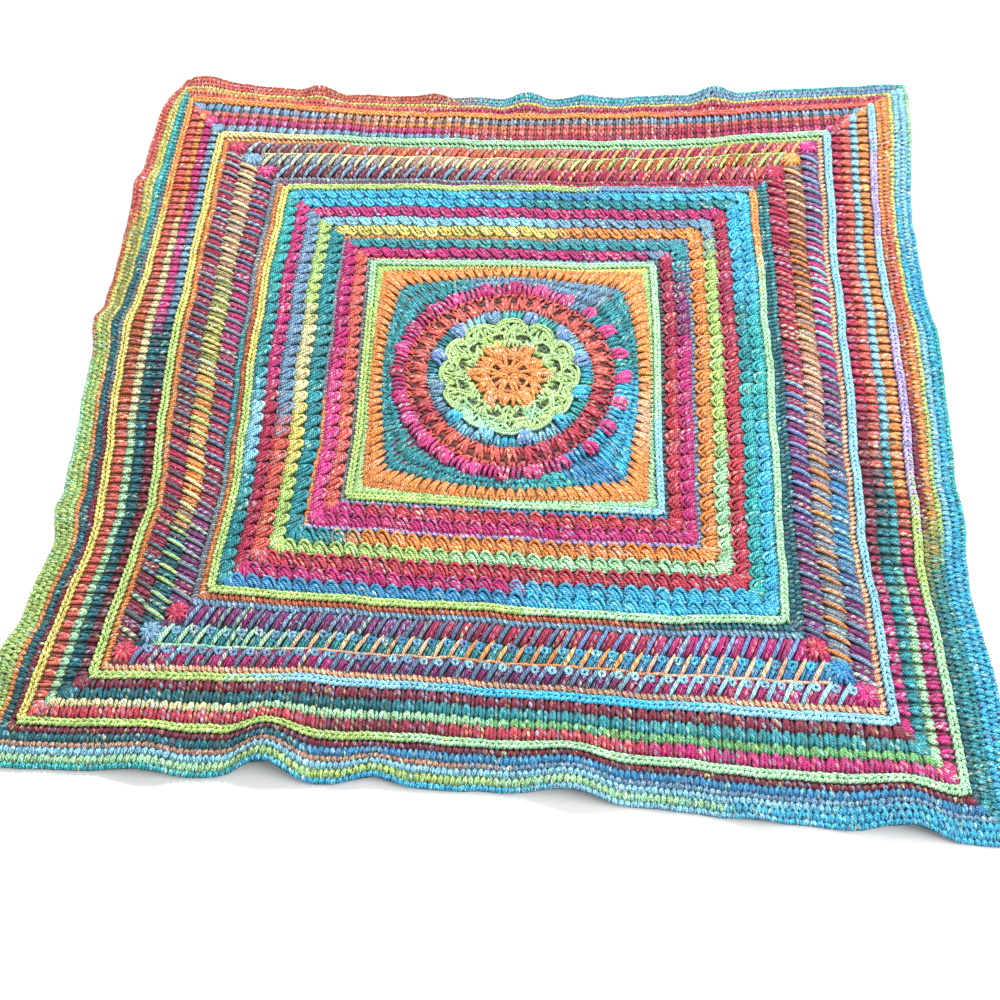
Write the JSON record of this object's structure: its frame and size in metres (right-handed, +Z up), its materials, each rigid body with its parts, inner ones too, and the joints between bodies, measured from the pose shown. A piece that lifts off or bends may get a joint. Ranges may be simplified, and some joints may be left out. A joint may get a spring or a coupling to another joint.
{
  "type": "crochet afghan",
  "caption": "Square crochet afghan worked in rounds from a flower motif, with raised ridges, ribs and a rippled striped border.",
  "frame": {"origin": "middle of the round motif, on the underside, where the afghan meets the floor", "axes": "+Z up out of the right side of the cloth, +Y towards the far edge of the picture, +X towards its right"},
  "size_m": [1.2024, 1.2171, 0.0249],
  "materials": {
    "afghan": "soft matt plied yarn, striped in many colours"
  },
  "bodies": {
    "root": {"afghan": "afghan"}
  },
  "joints": []
}
